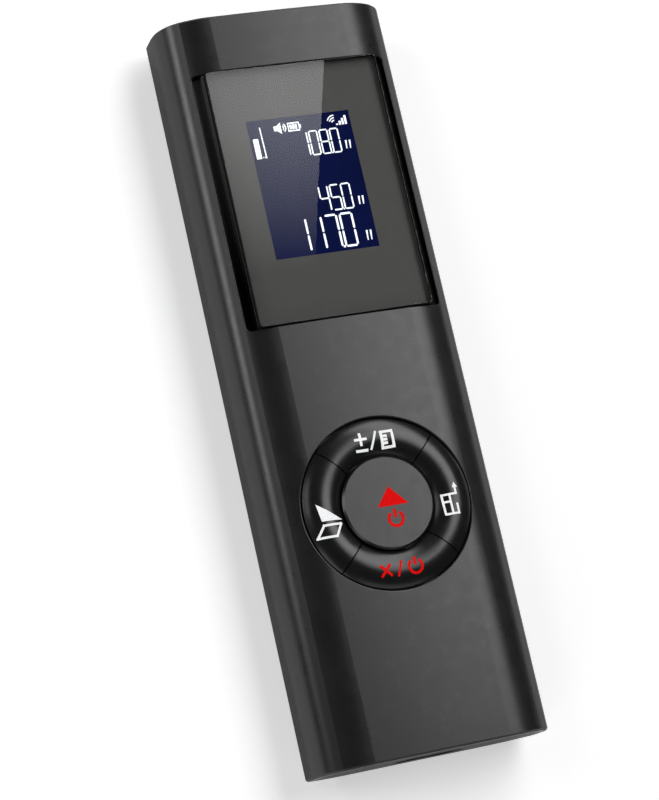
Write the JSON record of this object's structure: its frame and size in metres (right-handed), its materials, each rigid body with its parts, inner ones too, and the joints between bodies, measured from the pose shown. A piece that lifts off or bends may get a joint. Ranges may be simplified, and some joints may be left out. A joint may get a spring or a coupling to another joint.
{
  "type": "laser distance meter",
  "caption": "Slim pocket laser distance meter with rounded long sides, a window display and a round button inside a split key ring.",
  "frame": {"origin": "centre of the footprint on the rest plane, the meter lying on its back", "axes": "+Z out through the display face, +Y towards the laser end, -Y towards the base end that measures are taken from"},
  "size_m": [0.032, 0.1, 0.0121],
  "materials": {
    "housing_black": "satin black moulded shell, very fine grain",
    "cap_black": "satin black end plate",
    "clear_optic": "clear polished, faint coating",
    "receiver_optic": "deep red tinted window",
    "window_clear": "hard-coated clear acrylic, glossy",
    "mask_black": "printed black border and channel",
    "lcd_dark": "reversed liquid crystal cell, dark navy",
    "backlight_white": "light guide",
    "frame_plastic": "moulded display frame",
    "contact_rubber": "striped elastomer contact strip",
    "key_black": "satin black moulded key",
    "sheet_film": "polyimide spacer film",
    "dome_steel": "spring steel",
    "board_green": "solder-masked glass epoxy",
    "chip_black": "moulded package",
    "component_tan": "ceramic chip parts with tinned ends",
    "tin_plate": "tin-plated steel can",
    "buzzer_black": "moulded sounder",
    "socket_steel": "stamped nickel-plated shell",
    "cell_foil": "laminated aluminium pouch",
    "pad_foam": "closed-cell foam",
    "plug_white": "nylon plug",
    "lead_red": "insulated lead",
    "chassis_cast": "die-cast alloy",
    "barrel_brass": "turned brass",
    "diode_gold": "gold-plated can",
    "ring_black": "black anodised ring",
    "filter_red": "red band-pass filter",
    "diode_dark": "clear-moulded photodiode chip",
    "screw_steel": "black zinc screw steel"
  },
  "bodies": {
    "meter": {"backlight_panel": "backlight_white", "base_end_cap": "cap_black", "battery_cell": "cell_foil", "battery_leads": "lead_red", "battery_pad": "pad_foam", "battery_plug": "plug_white", "board_components": "component_tan", "board_screws": "screw_steel", "buzzer": "buzzer_black", "chassis_screws": "screw_steel", "collimator_lens": "clear_optic", "detector_board": "board_green", "display_window": "window_clear", "dome_sheet": "sheet_film", "emitter_window": "clear_optic", "front_housing": "housing_black", "housing_screws": "screw_steel", "laser_barrel": "barrel_brass", "laser_diode": "diode_gold", "laser_end_cap": "cap_black", "lcd_connector": "contact_rubber", "lcd_frame": "frame_plastic", "lcd_glass": "lcd_dark", "lens_ring": "ring_black", "main_board": "board_green", "memory_chip": "chip_black", "optical_chassis": "chassis_cast", "optical_filter": "filter_red", "photodiode": "diode_dark", "processor_chip": "chip_black", "rear_cover": "housing_black", "receiver_lens": "clear_optic", "receiver_window": "receiver_optic", "shield_can": "tin_plate", "snap_domes": "dome_steel", "usb_socket": "socket_steel", "usb_tongue": "chip_black", "window_bezel": "mask_black", "window_mask": "mask_black"},
    "measure_button_body": {"measure_button": "key_black"},
    "unit_key_body": {"unit_key": "key_black"},
    "area_key_body": {"area_key": "key_black"},
    "clear_key_body": {"clear_key": "key_black"},
    "reference_key_body": {"reference_key": "key_black"}
  },
  "joints": [
    {"name": "measure_button_press", "type": "slide", "parent": "meter", "child": "measure_button_body", "axis": [0, 0, -1], "range_m": [0, 0.0003], "deforming": ["snap_domes"]},
    {"name": "unit_key_press", "type": "slide", "parent": "meter", "child": "unit_key_body", "axis": [0, 0, -1], "range_m": [0, 0.0003], "deforming": ["snap_domes"]},
    {"name": "area_key_press", "type": "slide", "parent": "meter", "child": "area_key_body", "axis": [0, 0, -1], "range_m": [0, 0.0003], "deforming": ["snap_domes"]},
    {"name": "clear_key_press", "type": "slide", "parent": "meter", "child": "clear_key_body", "axis": [0, 0, -1], "range_m": [0, 0.0003], "deforming": ["snap_domes"]},
    {"name": "reference_key_press", "type": "slide", "parent": "meter", "child": "reference_key_body", "axis": [0, 0, -1], "range_m": [0, 0.0003], "deforming": ["snap_domes"]}
  ]
}
